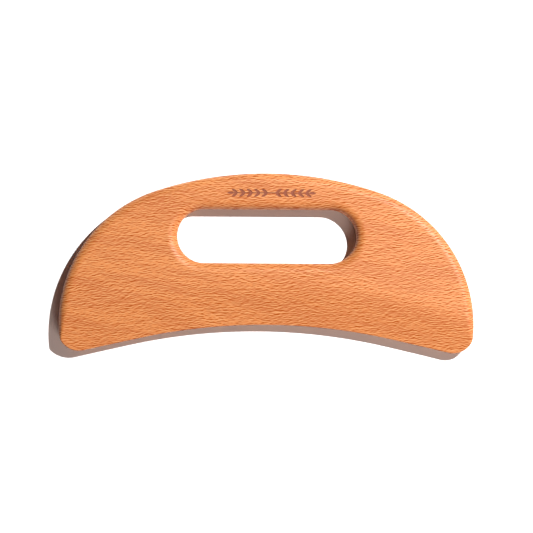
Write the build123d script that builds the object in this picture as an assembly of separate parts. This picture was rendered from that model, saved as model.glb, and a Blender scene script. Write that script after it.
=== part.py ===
from build123d import *

import os
from math import acos, cos, degrees, radians, sin, tan

# A body-scraping board (a gua sha scraper), carved from one piece of beech.
# Millimetres. The board lies flat on Z = 0 with its middle on the Z axis. Its curved back, which the
# palms rest on, faces +Y, and its hollow scraping edge, which is drawn over a limb, faces -Y. The back
# face is flat. The front is flat too, but falls away in a shallow bevel along the scraping edge.

# Overall size
board_length = 245.0  # along X, over the two sides
board_width = 105.5  # along Y, from the back to the tips
board_thickness = 12.0

# Outline: one long arc for the back, then on each side a shoulder arc, a tip arc and a short straight
# flank, and one long arc for the hollow. Each runs smoothly into the next.
back_radius = 207.0
back_half_angle = 18.7  # degrees, from the middle to where the shoulders begin
tip_radius = 12.0
flank_slope = 12.7  # degrees from the X axis
hollow_rise = 16.0  # from the level of the tips up to the middle of the hollow

# Hand slot, for the four fingers
slot_length = 105.6
slot_height = 31.7
handle_thickness = 21.4  # wood between the slot and the middle of the back

# Scraping edge: the bevel leaves the flat front in a long soft curve, then runs straight down to the edge
edge_thickness = 7.4
bevel_slope = 12.0  # degrees
bevel_curve = 60.0

# Edges: the hand rounding runs along the back and the sides and round the slot, on both faces. The bevel
# cuts through it near the tips, where the crisp scraping edge begins.
hand_rounding = 5.5
scraping_arris = 0.6
tip_step = 0.01  # how far the tips start outside the sides, so that the two surfaces cross

# Leaf sprig engraved in the front of the handle
sprig_centre = (2.7, 41.0)
sprig_depth = 0.3
stem_length = 44.0
stem_width = 0.6
leaf_length = 4.4
leaf_width = 1.5
leaf_lean = 32.0  # degrees between a leaf and the stem
leaf_pairs = 5  # on each half of the stem
leaf_pitch = 4.4  # along the stem

# The outline's centres and ends, worked out from the sizes above
back_top = board_width / 2
tip_bottom = -board_width / 2
slope = radians(flank_slope)
shoulder_start = radians(back_half_angle)
back_centre = (0, back_top - back_radius)
back_share = back_radius * sin(shoulder_start)
shoulder_radius = (board_length / 2 - back_share) / (1 - sin(shoulder_start))
back_to_shoulder = back_radius - shoulder_radius
shoulder_centre = (
    back_to_shoulder * sin(shoulder_start),
    back_centre[1] + back_to_shoulder * cos(shoulder_start),
)
shoulder_to_tip = shoulder_radius - tip_radius
tip_level = tip_bottom + tip_radius
side_turn = acos((tip_level - shoulder_centre[1]) / shoulder_to_tip)  # from the back's middle
tip_centre = (shoulder_centre[0] + shoulder_to_tip * sin(side_turn) + tip_step, tip_level)
flank_start = (tip_centre[0] - tip_radius * sin(slope), tip_level - tip_radius * cos(slope))
hollow_top = tip_bottom + hollow_rise
flank_fall = flank_start[0] * tan(slope) - (hollow_top - flank_start[1])
hollow_radius = flank_fall / (1 / cos(slope) - 1)
hollow_centre = (0, hollow_top - hollow_radius)
hollow_end = (hollow_radius * sin(slope), hollow_centre[1] + hollow_radius * cos(slope))
slot_centre = (0, back_top - handle_thickness - slot_height / 2)

# The bevel's section, outwards from the hollow's centre and up from the back face
bevel_angle = radians(bevel_slope)
curve_width = bevel_curve * sin(bevel_angle)
curve_fall = bevel_curve * (1 - cos(bevel_angle))
straight_width = (board_thickness - edge_thickness - curve_fall) / tan(bevel_angle)
straight_end = (hollow_radius + straight_width, board_thickness - curve_fall)
bevel_end = (hollow_radius + straight_width + curve_width, board_thickness)


def both_sides(*curves):
    """Return curves on the right of the outline, and their mirror images on the left."""
    return list(curves) + [mirror(curve, about=Plane.YZ) for curve in curves]


def along_side(point, level):
    """Return the point at a level in Y on the line through a point that leans as the sides do."""
    return (point.X + (point.Y - level) / tan(side_turn), level)


def plate_inside(curves):
    """Return a plate of the board's thickness inside a closed outline."""
    return extrude(make_face(Curve() + curves), board_thickness)


def rims_below(plate, level):
    """Return the edges, front and back, of a plate's side walls that lie below a level in Y."""
    faces = [face for face in plate.faces() if face.center().Y < level]
    walls = [face for face in faces if abs(face.normal_at().Z) < 0.01]
    return [edge for wall in walls for edge in wall.edges() if abs((edge % 0.5).Z) < 0.9]


def rounded_blank():
    """Return the blank with its back and sides rounded, and its sides running on past the tips."""
    below = tip_bottom - tip_radius
    side_angle = 90 - degrees(side_turn)
    shoulder_angle = degrees(side_turn - shoulder_start)
    shoulder = CenterArc(shoulder_centre, shoulder_radius, side_angle, shoulder_angle)
    foot = along_side(shoulder @ 0, below)
    back = CenterArc(back_centre, back_radius, 90 - back_half_angle, 2 * back_half_angle)
    sides = both_sides(shoulder, Line(shoulder @ 0, foot))
    blank = plate_inside(sides + [back, Line(foot, (-foot[0], below))])
    rims = [edge for edge in blank.edges() if edge.geom_type == GeomType.CIRCLE]
    return fillet(rims, hand_rounding)


def front_bevel():
    """Return what the bevel takes off the front: a shallow cone about the hollow's centre."""
    run_out = board_width / 2  # far enough to pass the tips
    low = (hollow_radius - run_out, edge_thickness - run_out * tan(bevel_angle))
    clear = 2 * board_thickness
    section = [
        Line(low, straight_end),
        TangentArc(straight_end, bevel_end, tangent=(cos(bevel_angle), sin(bevel_angle))),
        Line(bevel_end, (bevel_end[0], clear)),
        Line((bevel_end[0], clear), (low[0], clear)),
        Line((low[0], clear), low),
    ]
    half_turn = 30  # degrees each side of the middle
    face = Plane.XZ * make_face(Curve() + section)
    return Pos(*hollow_centre) * Rot(0, 0, 90 - half_turn) * revolve(face, Axis.Z, 2 * half_turn)


def lower_edge_plate():
    """Return a beveled plate that clears the back, and whose lower edge is the tips, flanks and hollow."""
    above = back_top + tip_radius
    tip_start = -90 - flank_slope
    tip = CenterArc(tip_centre, tip_radius, tip_start, 90 - degrees(side_turn) - tip_start)
    head = along_side(tip @ 1, above)
    hollow = CenterArc(hollow_centre, hollow_radius, 90 - flank_slope, 2 * flank_slope)
    sides = both_sides(tip, Line(tip @ 0, hollow_end), Line(tip @ 1, head))
    plate = plate_inside(sides + [hollow, Line(head, (-head[0], above))]) - front_bevel()
    return fillet(rims_below(plate, back_top), scraping_arris)


def cut_hand_slot(board):
    """Return the board with the finger slot cut through it and rounded on both faces."""
    slot = extrude(Pos(*slot_centre) * SlotOverall(slot_length, slot_height), board_thickness)
    slotted = board - slot
    faces = slotted.faces().sort_by(Axis.Z)
    rims = [edge for face in (faces[0], faces[-1]) for wire in face.inner_wires() for edge in wire.edges()]
    return fillet(rims, hand_rounding)


def leaf(base_x, lean):
    """Return one pointed leaf that grows from the stem at base_x and leans by an angle."""
    tip_point = (leaf_length, 0)
    upper = ThreePointArc((0, 0), (leaf_length / 2, leaf_width / 2), tip_point)
    lower = ThreePointArc(tip_point, (leaf_length / 2, -leaf_width / 2), (0, 0))
    return Pos(base_x, 0) * Rot(0, 0, lean) * make_face(upper + lower)


def sprig():
    """Return the outline of the sprig: a straight stem with leaves in pairs that point outwards."""
    drawing = SlotOverall(stem_length, stem_width)
    for pair in range(leaf_pairs):
        base_x = (pair + 0.5) * leaf_pitch
        for lean in (leaf_lean, -leaf_lean):
            drawing += leaf(base_x, lean)
            drawing += leaf(-base_x, 180 - lean)
    end_x = stem_length / 2 - stem_width / 2
    return drawing + leaf(end_x, 0) + leaf(-end_x, 180)


def scraper_board():
    """Return the whole board."""
    board = cut_hand_slot(rounded_blank() & lower_edge_plate())
    front = Pos(*sprig_centre, board_thickness) * sprig()
    return board - extrude(front, -sprig_depth)


os.makedirs("parts", exist_ok=True)
board = scraper_board()
export_step(board, "parts/scraper_board.step")
print("size", board.bounding_box().size, "volume", round(board.volume), "valid", board.is_valid)
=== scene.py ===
import logging
import math
from dataclasses import dataclass, field
from enum import Enum
from typing import Any

import bmesh
import bpy
import numpy as np
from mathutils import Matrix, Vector


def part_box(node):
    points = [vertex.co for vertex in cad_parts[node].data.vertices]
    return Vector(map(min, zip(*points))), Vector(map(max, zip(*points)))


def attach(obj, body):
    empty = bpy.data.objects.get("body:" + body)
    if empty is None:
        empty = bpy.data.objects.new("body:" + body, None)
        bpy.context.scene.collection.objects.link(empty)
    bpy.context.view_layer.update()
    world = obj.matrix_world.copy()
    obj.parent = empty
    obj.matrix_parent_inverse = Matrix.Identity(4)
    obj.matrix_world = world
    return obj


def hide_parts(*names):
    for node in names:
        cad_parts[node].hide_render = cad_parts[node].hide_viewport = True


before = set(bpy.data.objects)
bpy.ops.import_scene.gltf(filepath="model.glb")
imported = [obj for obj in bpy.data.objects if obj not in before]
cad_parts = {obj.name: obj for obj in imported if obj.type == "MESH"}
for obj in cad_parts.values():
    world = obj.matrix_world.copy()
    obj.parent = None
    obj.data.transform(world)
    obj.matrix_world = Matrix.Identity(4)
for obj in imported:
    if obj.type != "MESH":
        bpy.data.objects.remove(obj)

MM = 0.001
BOARD_NODE = "scraper_board"
BODY = "root"

log = logging.getLogger("gua_sha_scraper")


def linear(hex_colour: str) -> tuple[float, float, float, float]:
    """Turn an sRGB hex colour into the linear colour that a shader socket takes.

    Args:
        hex_colour: Six hex digits after a hash, such as "#e0a070".

    Returns:
        Red, green, blue and an alpha of 1, linear.
    """
    channels = [int(hex_colour[i : i + 2], 16) / 255 for i in (1, 3, 5)]
    red, green, blue = (c / 12.92 if c <= 0.04045 else ((c + 0.055) / 1.055) ** 2.4 for c in channels)
    return red, green, blue, 1.0


def add_node(
    tree: bpy.types.NodeTree, kind: str, inputs: dict[int | str, Any] | None = None, **settings: Any
) -> bpy.types.Node:
    """Add a node with its settings, its fixed input values and its links.

    Args:
        tree: The node tree that gets the node.
        kind: The node's type, such as "ShaderNodeMix".
        inputs: For each input, by name or index, a socket to link from or a value.
        settings: The node's own properties.

    Returns:
        The new node.
    """
    node = tree.nodes.new(kind)
    for name, value in settings.items():
        setattr(node, name, value)
    for key, value in (inputs or {}).items():
        if isinstance(value, bpy.types.NodeSocket):
            tree.links.new(value, node.inputs[key])
        else:
            node.inputs[key].default_value = value
    return node


class Edge(Enum):
    """How an edge of the board is finished."""

    HAND = "rounded for palms and fingers"
    SCRAPING = "crisp, with only its arris broken"


@dataclass(frozen=True)
class Rim:
    """Stations along a rim of the board, one row each.

    Attributes:
        points: Places in plan, metres.
        inward: Unit vectors in plan that point into the wood.
        hand: Whether each station is on a HAND edge.
    """

    points: np.ndarray
    inward: np.ndarray
    hand: np.ndarray

    def joined(self, other: "Rim") -> "Rim":
        """Return this rim with another after it."""
        return Rim(
            np.vstack([self.points, other.points]),
            np.vstack([self.inward, other.inward]),
            np.concatenate([self.hand, other.hand]),
        )

    def closed(self) -> "Rim":
        """Mirror a right half, which runs from the middle of the board to the middle.

        Returns:
            The whole rim: the right half, and then its mirror image.
        """
        flip = np.array([-1.0, 1.0])
        inner = slice(-2, 0, -1)
        return self.joined(Rim(self.points[inner] * flip, self.inward[inner] * flip, self.hand[inner]))


def arc_rim(
    centre: tuple[float, float], radius: float, first: float, last: float, steps: int,
    edge: Edge, wood_outside: bool = False,
) -> Rim:
    """Return stations on an arc, without the last one.

    Args:
        centre: The arc's centre in plan.
        radius: The arc's radius.
        first: The first station's angle from the X axis, radians.
        last: The angle where the arc ends.
        steps: How many stations.
        edge: How the edge is finished.
        wood_outside: Whether the wood is outside the arc and not inside it.

    Returns:
        The stations as a rim.
    """
    angles = np.linspace(first, last, steps, endpoint=False)
    spokes = np.column_stack([np.cos(angles), np.sin(angles)])
    inward = spokes if wood_outside else -spokes
    return Rim(np.array(centre) + radius * spokes, inward, np.full(steps, edge is Edge.HAND))


def line_rim(
    first: tuple[float, float], last: tuple[float, float], inward: tuple[float, float], steps: int,
    edge: Edge, with_last: bool = False,
) -> Rim:
    """Return stations on a straight run, with or without the last one.

    Args:
        first: The first station in plan.
        last: Where the run ends.
        inward: The unit vector into the wood.
        steps: How many spaces the run has.
        edge: How the edge is finished.
        with_last: Whether the last point is a station too.

    Returns:
        The stations as a rim.
    """
    count = steps + int(with_last)
    share = np.linspace(0, 1, steps + 1)[:count, None]
    points = np.array(first) * (1 - share) + np.array(last) * share
    return Rim(points, np.tile(np.array(inward), (count, 1)), np.full(count, edge is Edge.HAND))


def quarter_round(inset: np.ndarray, radius: float) -> np.ndarray:
    """Return how far a quarter-round edge lies below its face, at distances in from its wall."""
    left = radius - np.clip(inset, 0, radius)
    return radius - np.sqrt(radius**2 - left**2)


@dataclass(frozen=True)
class OiledBeech:
    """Flat-sawn steamed beech, sanded fine and rubbed with oil.

    The eye sees a warm orange with broad soft growth bands, and over them the dense short wavy dashes
    that are the ends of the wood's rays, with paler wood between them. The oil gives a low satin gloss to
    the wood but not to the rays, which break it into streaks. On the sides the rays show as taller flakes.
    """

    pale_wood: str = "#bf844f"
    early_wood: str = "#b87136"
    late_wood: str = "#a65c25"
    ray: str = "#90440d"
    ray_size_mm: tuple[float, float, float] = (2.3, 1.12, 2.8)
    ray_crowding: float = 0.92
    ray_straightness: float = 0.92
    ray_levels: tuple[float, float] = (0.525, 0.64)
    trough_levels: tuple[float, float] = (0.52, 0.34)
    band_size_mm: tuple[float, float, float] = (80.0, 7.0, 20.0)
    band_turn_deg: float = 14.0
    band_levels: tuple[float, float] = (0.35, 0.65)
    wander_mm: float = 3.6
    wander_size_mm: float = 50.0
    gloss: float = 0.58
    shine: float = 0.6
    ray_shine: float = 0.15
    ray_roughness: float = 0.74
    sanded_nap: float = 0.25
    relief_mm: float = 0.03

    def wandering_grain(self, tree: bpy.types.NodeTree) -> bpy.types.NodeSocket:
        """Place the grain in millimetres, pushed sideways by a slow noise so that it wanders.

        Args:
            tree: The material's node tree.

        Returns:
            The socket that gives each point's place in the grain.
        """
        place = add_node(tree, "ShaderNodeTexCoord").outputs["Object"]
        in_mm = add_node(
            tree, "ShaderNodeVectorMath", {0: place, 1: (1 / MM,) * 3}, operation="MULTIPLY",
        ).outputs[0]
        slow = add_node(
            tree, "ShaderNodeTexNoise",
            {"Vector": in_mm, "Scale": 1 / self.wander_size_mm, "Detail": 2.0, "Roughness": 0.45},
        ).outputs["Fac"]
        push = add_node(
            tree, "ShaderNodeMapRange",
            {"Value": slow, "To Min": -self.wander_mm, "To Max": self.wander_mm}, clamp=False,
        ).outputs[0]
        sideways = add_node(tree, "ShaderNodeCombineXYZ", {"Y": push}).outputs[0]
        return add_node(tree, "ShaderNodeVectorMath", {0: in_mm, 1: sideways}, operation="ADD").outputs[0]

    def growth_bands(self, tree: bpy.types.NodeTree, grain: bpy.types.NodeSocket) -> bpy.types.NodeSocket:
        """Colour the growth bands, which run across the board at a slant.

        Args:
            tree: The material's node tree.
            grain: The socket that gives each point's place in the grain.

        Returns:
            The socket that gives the wood's colour without its rays.
        """
        slant = (0.0, 0.0, math.radians(self.band_turn_deg))
        turned = add_node(tree, "ShaderNodeMapping", {"Vector": grain, "Rotation": slant}).outputs[0]
        squeezed = add_node(
            tree, "ShaderNodeVectorMath", {0: turned, 1: self.band_size_mm}, operation="DIVIDE",
        ).outputs[0]
        noise = add_node(
            tree, "ShaderNodeTexNoise", {"Vector": squeezed, "Scale": 1.0, "Detail": 3.0, "Roughness": 0.6},
        ).outputs["Fac"]
        early, late = self.band_levels
        band = add_node(
            tree, "ShaderNodeMapRange", {"Value": noise, "From Min": early, "From Max": late},
            interpolation_type="SMOOTHSTEP",
        ).outputs[0]
        return add_node(
            tree, "ShaderNodeMix", {0: band, 6: linear(self.early_wood), 7: linear(self.late_wood)},
            data_type="RGBA",
        ).outputs[2]

    def ray_ripple(self, tree: bpy.types.NodeTree, grain: bpy.types.NodeSocket) -> bpy.types.NodeSocket:
        """Draw the short ripples along the grain that the rays are the crests of.

        Each ray is a thin upright sheet, so that it is narrow from the front and taller from the side.

        Args:
            tree: The material's node tree.
            grain: The socket that gives each point's place in the grain.

        Returns:
            The socket that gives the ripple's level, which lies about a half.
        """
        cells = add_node(
            tree, "ShaderNodeVectorMath", {0: grain, 1: self.ray_size_mm}, operation="DIVIDE",
        ).outputs[0]
        across_grain = 5  # the input for an orientation in space
        return add_node(
            tree, "ShaderNodeTexGabor",
            {
                "Vector": cells, "Scale": 1.0, "Frequency": self.ray_crowding,
                "Anisotropy": self.ray_straightness, across_grain: (0.0, 1.0, 0.0),
            },
            gabor_type="3D",
        ).outputs["Value"]

    def material(self) -> bpy.types.Material:
        """Make the finish, which reads the piece's own Object coordinates.

        Returns:
            The material.
        """
        material = bpy.data.materials.new("oiled_beech")
        material.use_nodes = True
        tree = material.node_tree
        tree.nodes.clear()
        grain = self.wandering_grain(tree)
        wood = self.growth_bands(tree, grain)
        ripple = self.ray_ripple(tree, grain)
        foot, crest = self.ray_levels
        ray = add_node(
            tree, "ShaderNodeMapRange", {"Value": ripple, "From Min": foot, "From Max": crest},
            interpolation_type="SMOOTHSTEP",
        ).outputs[0]
        brink, bottom = self.trough_levels
        trough = add_node(
            tree, "ShaderNodeMapRange", {"Value": ripple, "From Min": brink, "From Max": bottom},
            interpolation_type="SMOOTHSTEP",
        ).outputs[0]
        lightened = add_node(
            tree, "ShaderNodeMix", {0: trough, 6: wood, 7: linear(self.pale_wood)}, data_type="RGBA",
        ).outputs[2]
        colour = add_node(
            tree, "ShaderNodeMix", {0: ray, 6: lightened, 7: linear(self.ray)}, data_type="RGBA",
        ).outputs[2]
        roughness = add_node(
            tree, "ShaderNodeMapRange", {"Value": ray, "To Min": self.gloss, "To Max": self.ray_roughness},
        ).outputs[0]
        shine = add_node(
            tree, "ShaderNodeMapRange", {"Value": ray, "To Min": self.shine, "To Max": self.ray_shine},
        ).outputs[0]
        # The rays stand a little below the wood between them, hence the inverted relief.
        relief = add_node(
            tree, "ShaderNodeBump",
            {"Height": ripple, "Strength": 1.0, "Distance": self.relief_mm * MM}, invert=True,
        ).outputs[0]
        shader = add_node(
            tree, "ShaderNodeBsdfPrincipled",
            {
                "Base Color": colour, "Roughness": roughness, "Diffuse Roughness": self.sanded_nap,
                "Specular IOR Level": shine, "Normal": relief,
            },
        )
        add_node(tree, "ShaderNodeOutputMaterial", {"Surface": shader.outputs[0]})
        return material


@dataclass(frozen=True)
class ScorchedBeech:
    """Beech charred by the engraving laser.

    The eye sees thin matt red-brown strokes, a little uneven in tone.
    """

    char: str = "#6a3420"
    light_char: str = "#83452c"
    char_size_mm: float = 0.8
    roughness: float = 0.8

    def material(self) -> bpy.types.Material:
        """Make the finish, which reads the piece's own Object coordinates.

        Returns:
            The material.
        """
        material = bpy.data.materials.new("scorched_beech")
        material.use_nodes = True
        tree = material.node_tree
        tree.nodes.clear()
        place = add_node(tree, "ShaderNodeTexCoord").outputs["Object"]
        specks = 1 / (self.char_size_mm * MM)
        uneven = add_node(
            tree, "ShaderNodeTexNoise", {"Vector": place, "Scale": specks, "Detail": 2.0},
        ).outputs["Fac"]
        colour = add_node(
            tree, "ShaderNodeMix", {0: uneven, 6: linear(self.char), 7: linear(self.light_char)},
            data_type="RGBA",
        ).outputs[2]
        shader = add_node(
            tree, "ShaderNodeBsdfPrincipled", {"Base Color": colour, "Roughness": self.roughness},
        )
        add_node(tree, "ShaderNodeOutputMaterial", {"Surface": shader.outputs[0]})
        return material


@dataclass
class LeafSprig:
    """The engraved ornament: a straight stem with leaves in pairs that point outwards.

    Attributes:
        centre: Its middle in plan, metres.
        depth: How deep it is cut.
        proud: How far its cutter stands above the face, so that the cut is clean.
        leaf_pairs: How many pairs each half of the stem has.
        outline_points: How many corners a leaf's outline has.
    """

    centre: tuple[float, float] = (2.7 * MM, 41.0 * MM)
    depth: float = 0.3 * MM
    proud: float = 0.2 * MM
    stem_length: float = 44.0 * MM
    stem_width: float = 0.6 * MM
    leaf_length: float = 4.4 * MM
    leaf_width: float = 1.5 * MM
    leaf_lean: float = math.radians(32.0)
    leaf_pairs: int = 5
    leaf_pitch: float = 4.4 * MM
    outline_points: int = 24
    finish: ScorchedBeech = field(default_factory=ScorchedBeech)

    def leaf(self, tree: bpy.types.GeometryNodeTree, given: bpy.types.Node) -> bpy.types.NodeSocket:
        """Draw one leaf: a disc drawn out to the leaf's length, and squeezed to a point at both ends.

        Args:
            tree: The tree that draws the cutter.
            given: The tree's group input.

        Returns:
            The socket that gives the leaf, with its base at the origin.
        """
        disc = add_node(
            tree, "GeometryNodeMeshCylinder",
            {"Vertices": self.outline_points, "Radius": 1.0, "Depth": given.outputs["Height"]},
            fill_type="NGON",
        ).outputs["Mesh"]
        position = add_node(tree, "GeometryNodeInputPosition").outputs[0]
        place = add_node(tree, "ShaderNodeSeparateXYZ", {0: position})
        half_length = add_node(
            tree, "ShaderNodeMath", {0: given.outputs["Leaf Length"], 1: 0.5}, operation="MULTIPLY",
        ).outputs[0]
        along = add_node(
            tree, "ShaderNodeMath", {0: place.outputs["X"], 1: half_length, 2: half_length},
            operation="MULTIPLY_ADD",
        ).outputs[0]
        size_y = add_node(tree, "ShaderNodeMath", {0: place.outputs["Y"]}, operation="ABSOLUTE").outputs[0]
        lens = add_node(
            tree, "ShaderNodeMath", {0: place.outputs["Y"], 1: size_y}, operation="MULTIPLY",
        ).outputs[0]
        half_width = add_node(
            tree, "ShaderNodeMath", {0: given.outputs["Leaf Width"], 1: 0.5}, operation="MULTIPLY",
        ).outputs[0]
        across = add_node(tree, "ShaderNodeMath", {0: lens, 1: half_width}, operation="MULTIPLY").outputs[0]
        outline = add_node(
            tree, "ShaderNodeCombineXYZ", {"X": along, "Y": across, "Z": place.outputs["Z"]},
        ).outputs[0]
        return add_node(tree, "GeometryNodeSetPosition", {"Geometry": disc, "Position": outline}).outputs[0]

    def growth(
        self, tree: bpy.types.GeometryNodeTree, given: bpy.types.Node,
    ) -> list[tuple[bpy.types.NodeSocket | int, bpy.types.NodeSocket, bpy.types.NodeSocket]]:
        """Work out where the leaves grow: odd numbers on the left half, each two of four up or down.

        Args:
            tree: The tree that draws the cutter.
            given: The tree's group input.

        Returns:
            For the leaves in pairs, and then for the two at the stem's ends, how many there are, where
            each grows along the stem, and its turn.
        """
        in_both_pairs = 4.0  # the leaves in one pair on each half of the stem
        index = add_node(tree, "GeometryNodeInputIndex").outputs[0]
        odd = add_node(tree, "ShaderNodeMath", {0: index, 1: 2.0}, operation="MODULO").outputs[0]
        half = add_node(
            tree, "ShaderNodeMath", {0: odd, 1: -2.0, 2: 1.0}, operation="MULTIPLY_ADD",
        ).outputs[0]
        about = add_node(tree, "ShaderNodeMath", {0: odd, 1: math.pi}, operation="MULTIPLY").outputs[0]
        quarter = add_node(
            tree, "ShaderNodeMath", {0: index, 1: in_both_pairs}, operation="DIVIDE",
        ).outputs[0]
        pair = add_node(tree, "ShaderNodeMath", {0: quarter}, operation="FLOOR").outputs[0]
        rest = add_node(tree, "ShaderNodeMath", {0: index, 1: in_both_pairs}, operation="MODULO").outputs[0]
        upper = add_node(tree, "ShaderNodeMath", {0: rest, 1: 1.5}, operation="LESS_THAN").outputs[0]
        side = add_node(
            tree, "ShaderNodeMath", {0: upper, 1: 2.0, 2: -1.0}, operation="MULTIPLY_ADD",
        ).outputs[0]
        middle = add_node(tree, "ShaderNodeMath", {0: pair, 1: 0.5}, operation="ADD").outputs[0]
        out = add_node(
            tree, "ShaderNodeMath", {0: middle, 1: given.outputs["Leaf Pitch"]}, operation="MULTIPLY",
        ).outputs[0]
        base = add_node(tree, "ShaderNodeMath", {0: out, 1: half}, operation="MULTIPLY").outputs[0]
        signed = add_node(tree, "ShaderNodeMath", {0: side, 1: half}, operation="MULTIPLY").outputs[0]
        lean = add_node(
            tree, "ShaderNodeMath", {0: signed, 1: given.outputs["Leaf Lean"], 2: about},
            operation="MULTIPLY_ADD",
        ).outputs[0]
        count = add_node(
            tree, "ShaderNodeMath", {0: given.outputs["Leaf Pairs"], 1: in_both_pairs},
            operation="MULTIPLY",
        ).outputs[0]
        # The last leaf at each end of the stem lies in line with it.
        inner = add_node(
            tree, "ShaderNodeMath", {0: given.outputs["Stem Length"], 1: given.outputs["Stem Width"]},
            operation="SUBTRACT",
        ).outputs[0]
        reach = add_node(tree, "ShaderNodeMath", {0: inner, 1: 0.5}, operation="MULTIPLY").outputs[0]
        end = add_node(tree, "ShaderNodeMath", {0: reach, 1: half}, operation="MULTIPLY").outputs[0]
        return [(count, base, lean), (2, end, about)]

    def tree(self) -> bpy.types.GeometryNodeTree:
        """Make the node tree that draws the sprig's cutter, with one named input for each size.

        Returns:
            The tree.
        """
        tree = bpy.data.node_groups.new("leaf_sprig", "GeometryNodeTree")
        tree.interface.new_socket("Geometry", in_out="OUTPUT", socket_type="NodeSocketGeometry")
        lengths = ("Stem Length", "Stem Width", "Leaf Length", "Leaf Width", "Leaf Pitch", "Height")
        for name in (*lengths, "Leaf Lean"):
            tree.interface.new_socket(name, in_out="INPUT", socket_type="NodeSocketFloat")
        tree.interface.new_socket("Leaf Pairs", in_out="INPUT", socket_type="NodeSocketInt")
        tree.interface.new_socket("Middle", in_out="INPUT", socket_type="NodeSocketVector")
        tree.interface.new_socket("Finish", in_out="INPUT", socket_type="NodeSocketMaterial")
        given = add_node(tree, "NodeGroupInput")
        leaf = self.leaf(tree, given)
        parts = []
        for number, base_x, turn in self.growth(tree, given):
            stations = add_node(
                tree, "GeometryNodeMeshLine", {"Count": number, "Offset": (0.0, 0.0, 0.0)}, mode="OFFSET",
            ).outputs[0]
            spot = add_node(tree, "ShaderNodeCombineXYZ", {"X": base_x}).outputs[0]
            spread = add_node(
                tree, "GeometryNodeSetPosition", {"Geometry": stations, "Position": spot},
            ).outputs[0]
            heading = add_node(tree, "ShaderNodeCombineXYZ", {"Z": turn}).outputs[0]
            parts.append(
                add_node(
                    tree, "GeometryNodeInstanceOnPoints",
                    {"Points": spread, "Instance": leaf, "Rotation": heading},
                ).outputs[0]
            )
        bar = add_node(
            tree, "ShaderNodeCombineXYZ",
            {
                "X": given.outputs["Stem Length"], "Y": given.outputs["Stem Width"],
                "Z": given.outputs["Height"],
            },
        ).outputs[0]
        parts.append(add_node(tree, "GeometryNodeMeshCube", {"Size": bar}).outputs["Mesh"])
        joined = add_node(tree, "GeometryNodeJoinGeometry")
        for part in parts:
            tree.links.new(part, joined.inputs[0])
        placed = add_node(
            tree, "GeometryNodeTransform",
            {"Geometry": joined.outputs[0], "Translation": given.outputs["Middle"]},
        ).outputs[0]
        # One solid without the overlaps of stem and leaves, so that it cuts cleanly
        merged = add_node(
            tree, "GeometryNodeMeshBoolean", {"Mesh 2": placed, "Self Intersection": True},
            operation="UNION", solver="EXACT",
        ).outputs[0]
        real = add_node(tree, "GeometryNodeRealizeInstances", {"Geometry": merged}).outputs[0]
        coated = add_node(
            tree, "GeometryNodeSetMaterial", {"Geometry": real, "Material": given.outputs["Finish"]},
        ).outputs[0]
        add_node(tree, "NodeGroupOutput", {"Geometry": coated})
        return tree

    def cutter(self, face_height: float) -> bpy.types.Object:
        """Make the solid that cuts the sprig into a flat face.

        Args:
            face_height: The face's height above the table.

        Returns:
            The cutter, in the finish that the cut gets.
        """
        tree = self.tree()
        height = self.depth + self.proud
        values = {
            "Stem Length": self.stem_length, "Stem Width": self.stem_width, "Leaf Length": self.leaf_length,
            "Leaf Width": self.leaf_width, "Leaf Lean": self.leaf_lean, "Leaf Pitch": self.leaf_pitch,
            "Height": height, "Leaf Pairs": self.leaf_pairs,
            "Middle": (*self.centre, face_height - self.depth + height / 2),
            "Finish": self.finish.material(),
        }
        piece = bpy.data.objects.new("sprig_cutter", bpy.data.meshes.new("sprig_seed"))
        bpy.context.scene.collection.objects.link(piece)
        modifier = piece.modifiers.new("leaf_sprig", "NODES")
        modifier.node_group = tree
        for item in tree.interface.items_tree:
            if item.in_out == "INPUT":
                modifier[item.identifier] = values[item.name]
        bake(piece)
        return piece


def bake(piece: bpy.types.Object) -> None:
    """Make a piece's modifiers part of its mesh.

    Args:
        piece: The piece, which is left with a plain mesh and no modifiers.
    """
    piece.data.update()
    evaluated = piece.evaluated_get(bpy.context.evaluated_depsgraph_get())
    mesh = bpy.data.meshes.new_from_object(evaluated)
    piece.modifiers.clear()
    piece.data = mesh


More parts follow.
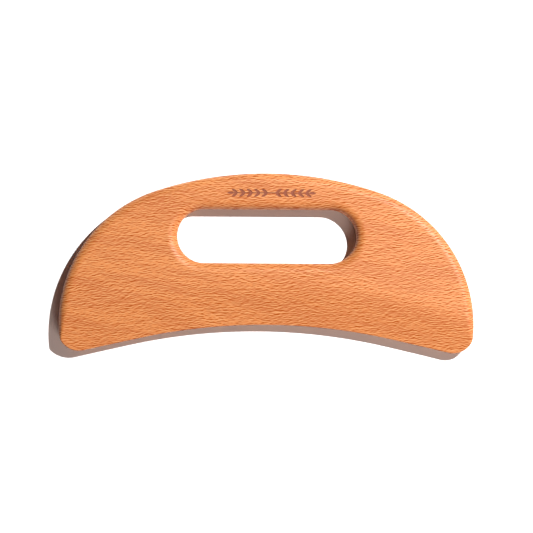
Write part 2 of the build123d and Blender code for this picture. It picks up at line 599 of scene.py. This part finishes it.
@dataclass
class ScraperBoard:
    """The board itself: one closed skin round the back, the sides, the scraping edge and the slot.

    Attributes:
        length: Along X, over the two sides.
        width: Along Y, from the back to the tips.
        thickness: Along Z.
        hand_rounding: The quarter-round of the back, the sides and the slot.
        crease: How wide the sanded crease is at most, where the bevel cuts through the hand rounding.
        guard: How far inside its rounding a face's first ring lies, to hold the shading flat.
        round_steps: How many strips a rounding has, across it.
        flat_rings: How many strips a face has between its two roundings.
        wall_steps: How many strips a wall has.
        back_steps: How many stations half of the back has, and so on round to half of the hollow.
        slot_top_steps: How many stations half of the slot's upper side has.
        slot_end_steps: How many stations a round end of the slot has.
        sharpest_smooth: The widest angle between two faces that is still shaded as smooth.
    """

    length: float
    width: float
    thickness: float
    back_radius: float = 207.0 * MM
    back_half_angle: float = math.radians(18.7)
    tip_radius: float = 12.0 * MM
    flank_slope: float = math.radians(12.7)
    hollow_rise: float = 16.0 * MM
    slot_length: float = 105.6 * MM
    slot_height: float = 31.7 * MM
    handle_thickness: float = 21.4 * MM
    edge_thickness: float = 7.4 * MM
    bevel_slope: float = math.radians(12.0)
    bevel_curve: float = 60.0 * MM
    hand_rounding: float = 5.5 * MM
    scraping_arris: float = 0.6 * MM
    crease: float = 0.8 * MM
    guard: float = 0.3 * MM
    round_steps: int = 12
    flat_rings: int = 24
    wall_steps: int = 3
    back_steps: int = 48
    shoulder_steps: int = 80
    tip_steps: int = 40
    flank_steps: int = 20
    hollow_steps: int = 48
    slot_top_steps: int = 48
    slot_end_steps: int = 120
    sharpest_smooth: float = math.radians(40)
    sprig: LeafSprig = field(default_factory=LeafSprig)
    finish: OiledBeech = field(default_factory=OiledBeech)
    shoulder: tuple[float, float] = field(init=False)
    shoulder_radius: float = field(init=False)
    side_turn: float = field(init=False)
    tip: tuple[float, float] = field(init=False)
    hollow: tuple[float, float] = field(init=False)
    hollow_radius: float = field(init=False)

    def __post_init__(self) -> None:
        """Work out the outline's centres from its sizes."""
        start, slope = self.back_half_angle, self.flank_slope
        back_share = self.back_radius * math.sin(start)
        self.shoulder_radius = (self.length / 2 - back_share) / (1 - math.sin(start))
        gap = self.back_radius - self.shoulder_radius
        self.shoulder = (gap * math.sin(start), self.width / 2 - self.back_radius + gap * math.cos(start))
        reach = self.shoulder_radius - self.tip_radius
        tip_level = self.tip_radius - self.width / 2
        self.side_turn = math.acos((tip_level - self.shoulder[1]) / reach)
        self.tip = (self.shoulder[0] + reach * math.sin(self.side_turn), tip_level)
        foot = self.flank_foot()
        hollow_top = self.hollow_rise - self.width / 2
        fall = foot[0] * math.tan(slope) - (hollow_top - foot[1])
        self.hollow_radius = fall / (1 / math.cos(slope) - 1)
        self.hollow = (0.0, hollow_top - self.hollow_radius)

    def flank_foot(self) -> tuple[float, float]:
        """Return where the right flank leaves the tip's arc."""
        away = (math.sin(self.flank_slope), math.cos(self.flank_slope))
        return self.tip[0] - self.tip_radius * away[0], self.tip[1] - self.tip_radius * away[1]

    def outer_rim(self) -> Rim:
        """Lay the stations round the outside, clockwise from the middle of the back.

        Returns:
            The rim.
        """
        start, slope, turn, up = self.back_half_angle, self.flank_slope, self.side_turn, math.pi / 2
        side = (math.sin(slope), math.cos(slope))
        flank_end = tuple(c + self.hollow_radius * part for c, part in zip(self.hollow, side))
        back_centre = (0.0, self.width / 2 - self.back_radius)
        middle = (0.0, self.hollow[1] + self.hollow_radius)
        hand, scraping = Edge.HAND, Edge.SCRAPING
        runs = [
            arc_rim(back_centre, self.back_radius, up, up - start, self.back_steps, hand),
            arc_rim(self.shoulder, self.shoulder_radius, up - start, up - turn, self.shoulder_steps, hand),
            arc_rim(self.tip, self.tip_radius, up - turn, -up - slope, self.tip_steps, scraping),
            line_rim(self.flank_foot(), flank_end, side, self.flank_steps, scraping),
            arc_rim(
                self.hollow, self.hollow_radius, up - slope, up, self.hollow_steps, scraping,
                wood_outside=True,
            ),
            line_rim(middle, middle, (0.0, 1.0), 0, scraping, with_last=True),
        ]
        half = runs[0]
        for run in runs[1:]:
            half = half.joined(run)
        return half.closed()

    def slot_rim(self) -> Rim:
        """Lay the stations round the slot, each facing the outer rim's station of the same number.

        Returns:
            The rim.
        """
        radius = self.slot_height / 2
        straight = self.slot_length / 2 - radius
        top = self.width / 2 - self.handle_thickness
        centre, bottom, up = top - radius, top - 2 * radius, math.pi / 2
        half_steps = (
            self.back_steps + self.shoulder_steps + self.tip_steps + self.flank_steps + self.hollow_steps
        )
        under_steps = half_steps - self.slot_top_steps - self.slot_end_steps
        over = line_rim((0.0, top), (straight, top), (0.0, 1.0), self.slot_top_steps, Edge.HAND)
        end = arc_rim(
            (straight, centre), radius, up, -up, self.slot_end_steps, Edge.HAND, wood_outside=True,
        )
        under = line_rim(
            (straight, bottom), (0.0, bottom), (0.0, -1.0), under_steps, Edge.HAND, with_last=True,
        )
        return over.joined(end).joined(under).closed()

    def bevel_drop(self, plan: np.ndarray) -> np.ndarray:
        """Work out how far the front bevel lies below the flat front.

        Args:
            plan: Points in plan, one row each.

        Returns:
            The drop at each point, which is 0 beyond the bevel.
        """
        slope, curve = self.bevel_slope, self.bevel_curve
        curve_width, curve_fall = curve * math.sin(slope), curve * (1 - math.cos(slope))
        straight = (self.thickness - self.edge_thickness - curve_fall) / math.tan(slope)
        start = self.hollow_radius + straight + curve_width
        past = np.clip(start - np.linalg.norm(plan - np.array(self.hollow), axis=1), 0, None)
        on_curve = curve - np.sqrt(curve**2 - np.minimum(past, curve_width) ** 2)
        return on_curve + np.clip(past - curve_width, 0, None) * math.tan(slope)

    def face_rows(self, bevel: float) -> list[np.ndarray]:
        """Lay rows of points over one face, from the slot's wall to the outer wall.

        Args:
            bevel: 1 for the front, which is beveled, and 0 for the flat back.

        Returns:
            One row of X, Y and height for each ring, in the stations' order.
        """
        slot, outer, radius = self.slot_rim(), self.outer_rim(), self.hand_rounding
        insets = radius * (1 - np.cos(np.linspace(0, math.pi / 2, self.round_steps + 1)))
        side = np.array([math.sin(self.side_turn), math.cos(self.side_turn)])
        never_zero = 1e-9

        def height(plan: np.ndarray, inset: float) -> np.ndarray:
            """Work out the skin's height along a ring.

            Args:
                plan: The ring's points in plan.
                inset: How far the ring lies inside the outer rim.

            Returns:
                The height at each point.
            """
            drop = self.bevel_drop(plan) * bevel
            right = np.column_stack([np.abs(plan[:, 0]), plan[:, 1]])
            beside = self.tip_radius + (np.array(self.tip) - right) @ side
            rounded = quarter_round(np.where(outer.hand, np.minimum(beside, inset), beside), radius)
            broken = quarter_round(np.full(len(plan), inset), self.scraping_arris)
            cut = drop + np.where(outer.hand, 0.0, broken)
            # The deeper of the two cuts counts, with their crease blended over a width of soft.
            soft = np.minimum(self.crease, drop / 2) + never_zero
            overlap = np.clip(soft - np.abs(rounded - cut), 0, None) / soft
            return self.thickness - np.maximum(rounded, cut) - overlap**2 * soft / 4

        rows = []
        for inset in insets:
            level = self.thickness - quarter_round(np.full(len(slot.points), inset), radius)
            rows.append(np.column_stack([slot.points + slot.inward * inset, level]))
        near, far = slot.points + slot.inward * radius, outer.points + outer.inward * radius
        first = self.guard / np.linalg.norm(far - near, axis=1, keepdims=True)
        for share in np.linspace(0, 1, self.flat_rings + 1):
            plan = near + (far - near) * (first + (1 - 2 * first) * share)
            rows.append(np.column_stack([plan, height(plan, radius)]))
        for inset in insets[::-1]:
            plan = outer.points + outer.inward * inset
            rows.append(np.column_stack([plan, height(plan, inset)]))
        return rows

    def skin(self) -> bpy.types.Mesh:
        """Make the board's closed skin, before it is engraved.

        Returns:
            The skin as a mesh, with its faces outwards.
        """
        front = self.face_rows(bevel=1.0)
        back = [row * [1, 1, -1] + [0, 0, self.thickness] for row in self.face_rows(bevel=0.0)[::-1]]
        walls = []
        for above, below in ((front[-1], back[0]), (back[-1], front[0])):
            shares = np.linspace(0, 1, self.wall_steps + 1)[1:-1]
            walls.append([above * (1 - share) + below * share for share in shares])
        grid = np.array(front + walls[0] + back + walls[1])
        count_rows, count_stations = grid.shape[:2]
        index = np.arange(count_rows * count_stations).reshape(count_rows, count_stations)
        right, down = np.roll(index, -1, axis=1), np.roll(index, -1, axis=0)
        corner = np.roll(down, -1, axis=1)
        quads = np.stack([index, down, corner, right], axis=-1).reshape(-1, 4)
        mesh = bpy.data.meshes.new("beech_board")
        mesh.from_pydata(grid.reshape(-1, 3).tolist(), [], quads.tolist())
        shell = bmesh.new()
        shell.from_mesh(mesh)
        bmesh.ops.recalc_face_normals(shell, faces=shell.faces)
        shell.to_mesh(mesh)
        shell.free()
        return mesh

    def build(self) -> bpy.types.Object:
        """Make the board, engrave it and oil it.

        Returns:
            The finished piece.
        """
        piece = bpy.data.objects.new("beech_board", self.skin())
        bpy.context.scene.collection.objects.link(piece)
        piece.data.materials.append(self.finish.material())
        cutter = self.sprig.cutter(self.thickness)
        engraving = piece.modifiers.new("engraving", "BOOLEAN")
        engraving.object = cutter
        engraving.operation = "DIFFERENCE"
        engraving.solver = "EXACT"
        engraving.material_mode = "TRANSFER"
        bake(piece)
        bpy.data.objects.remove(cutter)
        piece.data.shade_smooth()
        piece.data.set_sharp_from_angle(angle=self.sharpest_smooth)
        return piece


@dataclass
class Studio:
    """The plain white table, the small hard lamp behind it, the softbox in front and the camera above."""

    floor_side: float = 30.0
    floor_white: float = 0.8
    floor_roughness: float = 0.9
    lamp_place: tuple[float, float, float] = (0.694, 0.568, 1.013)
    lamp_diameter: float = 0.035
    lamp_power: float = 165.0
    softbox_place: tuple[float, float, float] = (0.389, -0.963, 0.600)
    softbox_size: tuple[float, float] = (0.60, 0.85)
    softbox_power: float = 8.8
    softbox_colour: tuple[float, float, float] = (1.0, 0.82, 0.74)
    ambient: tuple[float, float, float] = (0.085, 0.050, 0.046)
    camera_height: float = 1.0
    camera_centre: tuple[float, float] = (0.0, -0.0022)
    camera_roll: float = math.radians(0.40)
    view_width: float = 0.3129
    view_level: float = 0.012
    sensor: float = 36.0

    def add_floor(self) -> None:
        """Lay the white table top, which is matt so that it shows no lamp."""
        mesh = bpy.data.meshes.new("floor")
        half = self.floor_side / 2
        corners = [(-half, -half, 0), (half, -half, 0), (half, half, 0), (-half, half, 0)]
        mesh.from_pydata(corners, [], [(0, 1, 2, 3)])
        floor = bpy.data.objects.new("floor", mesh)
        bpy.context.scene.collection.objects.link(floor)
        paint = bpy.data.materials.new("white_sweep")
        paint.use_nodes = True
        shader = paint.node_tree.nodes["Principled BSDF"].inputs
        shader["Base Color"].default_value = (self.floor_white, self.floor_white, self.floor_white, 1)
        shader["Roughness"].default_value = self.floor_roughness
        shader["Specular IOR Level"].default_value = 0.0
        mesh.materials.append(paint)

    def add_lights(self) -> None:
        """Hang the lamp and the softbox, and give the room its faint warm light."""
        scene = bpy.context.scene
        lamp_data = bpy.data.lights.new("key_lamp", "POINT")
        lamp_data.energy = self.lamp_power
        lamp_data.shadow_soft_size = self.lamp_diameter / 2
        lamp = bpy.data.objects.new("key_lamp", lamp_data)
        lamp.location = self.lamp_place
        scene.collection.objects.link(lamp)
        box_data = bpy.data.lights.new("softbox", "AREA")
        box_data.energy = self.softbox_power
        box_data.color = self.softbox_colour
        box_data.shape = "RECTANGLE"
        box_data.size, box_data.size_y = self.softbox_size
        softbox = bpy.data.objects.new("softbox", box_data)
        softbox.location = self.softbox_place
        softbox.rotation_euler = Vector(self.softbox_place).to_track_quat("Z", "Y").to_euler()
        scene.collection.objects.link(softbox)
        world = bpy.data.worlds.new("dim_room")
        world.use_nodes = True
        world.node_tree.nodes["Background"].inputs["Color"].default_value = (*self.ambient, 1.0)
        scene.world = world

    def add_camera(self) -> None:
        """Hang the camera straight above the board, with view_width in view at the board's front face."""
        scene = bpy.context.scene
        camera_data = bpy.data.cameras.new("overhead")
        camera_data.sensor_width = self.sensor
        camera_data.lens = self.sensor * (self.camera_height - self.view_level) / self.view_width
        camera = bpy.data.objects.new("overhead", camera_data)
        camera.location = (*self.camera_centre, self.camera_height)
        camera.rotation_euler = (0.0, 0.0, self.camera_roll)
        scene.collection.objects.link(camera)
        scene.camera = camera
        scene.view_settings.view_transform = "Standard"

    def build(self) -> None:
        """Build the floor, the lights and the camera."""
        self.add_floor()
        self.add_lights()
        self.add_camera()


def main() -> None:
    """Build the object and the studio round it, in order."""
    logging.basicConfig(level=logging.INFO, format="%(name)s: %(message)s")
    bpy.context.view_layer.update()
    low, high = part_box(BOARD_NODE)
    size = 2 * Vector(min(above, -below) for above, below in zip(high, low))
    Studio().build()
    log.info("studio built")
    board = ScraperBoard(length=size.x, width=size.y, thickness=high.z).build()
    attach(board, BODY)
    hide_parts(BOARD_NODE)
    log.info("%s built with %d faces", board.name, len(board.data.polygons))


if __name__ == "__main__":
    main()
